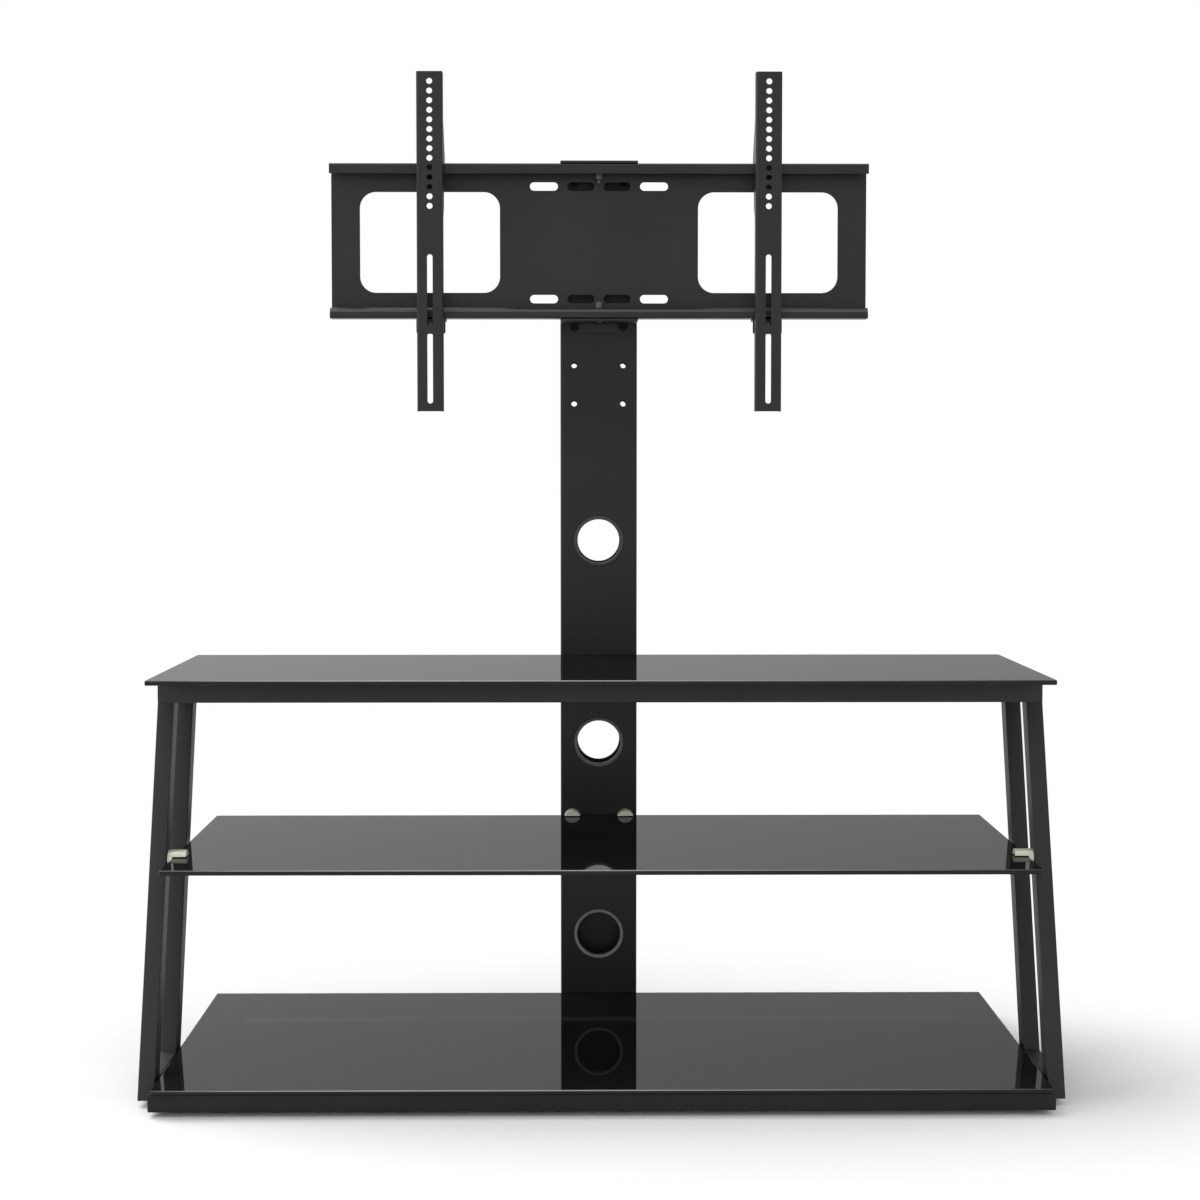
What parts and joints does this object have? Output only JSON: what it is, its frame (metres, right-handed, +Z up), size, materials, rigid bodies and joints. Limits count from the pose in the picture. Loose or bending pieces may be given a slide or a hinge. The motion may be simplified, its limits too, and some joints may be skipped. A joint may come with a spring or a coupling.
{
  "type": "tv stand with mount",
  "caption": "Glass-shelved media stand with raked steel side frames and a rear column carrying a swivelling screen mount plate with sliding upright arms.",
  "frame": {"origin": "middle of the footprint on the floor, under the centre of the bounding box", "axes": "+Z up; -Y is the front, where the shelves open and the screen faces; +X to the viewer's right as seen from the front"},
  "size_m": [1.1, 0.5718, 1.2747],
  "materials": {
    "frame_paint": "fine-textured matt black powder coat",
    "column_paint": "fine-textured matt black powder coat",
    "plate_paint": "matt black powder coat",
    "arm_paint": "matt black powder coat",
    "black_glass": "opaque black tempered glass, polished, ground edges",
    "clamp_metal": "warm satin nickel",
    "black_bolt": "black oxide",
    "zinc_bolt": "dull zinc plated",
    "ring_plastic": "dark grey, satin",
    "cap_plastic": "black, satin",
    "pad_rubber": "black, matt"
  },
  "bodies": {
    "stand": {"left_front_leg": "frame_paint", "left_back_leg": "frame_paint", "left_bottom_tube": "frame_paint", "left_top_tube": "frame_paint", "left_base_rail": "frame_paint", "right_front_leg": "frame_paint", "right_back_leg": "frame_paint", "right_bottom_tube": "frame_paint", "right_top_tube": "frame_paint", "right_base_rail": "frame_paint", "top_front_rail": "frame_paint", "top_rear_rail": "frame_paint", "base_front_rail": "frame_paint", "base_rear_rail": "frame_paint", "base_rear_deck": "frame_paint", "column": "column_paint", "column_back": "column_paint", "column_cap": "cap_plastic", "column_foot": "cap_plastic", "bottom_glass": "black_glass", "middle_glass": "black_glass", "top_glass": "black_glass", "left_front_pad": "pad_rubber", "left_front_glide": "pad_rubber", "left_rear_pad": "pad_rubber", "left_rear_glide": "pad_rubber", "right_front_pad": "pad_rubber", "right_front_glide": "pad_rubber", "right_rear_pad": "pad_rubber", "right_rear_glide": "pad_rubber", "left_glass_clamp": "clamp_metal", "left_clamp_screw": "clamp_metal", "right_glass_clamp": "clamp_metal", "right_clamp_screw": "clamp_metal", "column_left_glass_clamp": "clamp_metal", "column_left_clamp_screw": "clamp_metal", "column_right_glass_clamp": "clamp_metal", "column_right_clamp_screw": "clamp_metal", "upper_cable_ring": "ring_plastic", "middle_cable_ring": "ring_plastic", "lower_cable_ring": "ring_plastic", "upper_left_tie_bolt": "black_bolt", "upper_right_tie_bolt": "black_bolt", "lower_left_tie_bolt": "black_bolt", "lower_right_tie_bolt": "black_bolt"},
    "head": {"upper_left_head_bolt": "black_bolt", "upper_right_head_bolt": "black_bolt", "upper_pivot_bolt": "zinc_bolt", "lower_left_head_bolt": "black_bolt", "lower_right_head_bolt": "black_bolt", "lower_pivot_bolt": "zinc_bolt", "swivel_bracket": "plate_paint"},
    "plate": {"mount_plate": "plate_paint"},
    "left_arm": {"left_screen_arm": "arm_paint", "left_lower_hook": "arm_paint", "left_lock_screw": "zinc_bolt"},
    "right_arm": {"right_screen_arm": "arm_paint", "right_lower_hook": "arm_paint", "right_lock_screw": "zinc_bolt"}
  },
  "joints": [
    {"name": "head_height", "type": "slide", "parent": "stand", "child": "head", "axis": [0, 0, 1], "range_m": [-0.104, 0]},
    {"name": "plate_swivel", "type": "hinge", "parent": "head", "child": "plate", "pos_m": [0, 0.1699, 1.0558], "axis": [0, 0, 1], "range_deg": [-20, 20]},
    {"name": "left_arm_slide", "type": "slide", "parent": "plate", "child": "left_arm", "axis": [1, 0, 0], "range_m": [-0.077, 0.123]},
    {"name": "right_arm_slide", "type": "slide", "parent": "plate", "child": "right_arm", "axis": [1, 0, 0], "range_m": [-0.123, 0.077]}
  ]
}
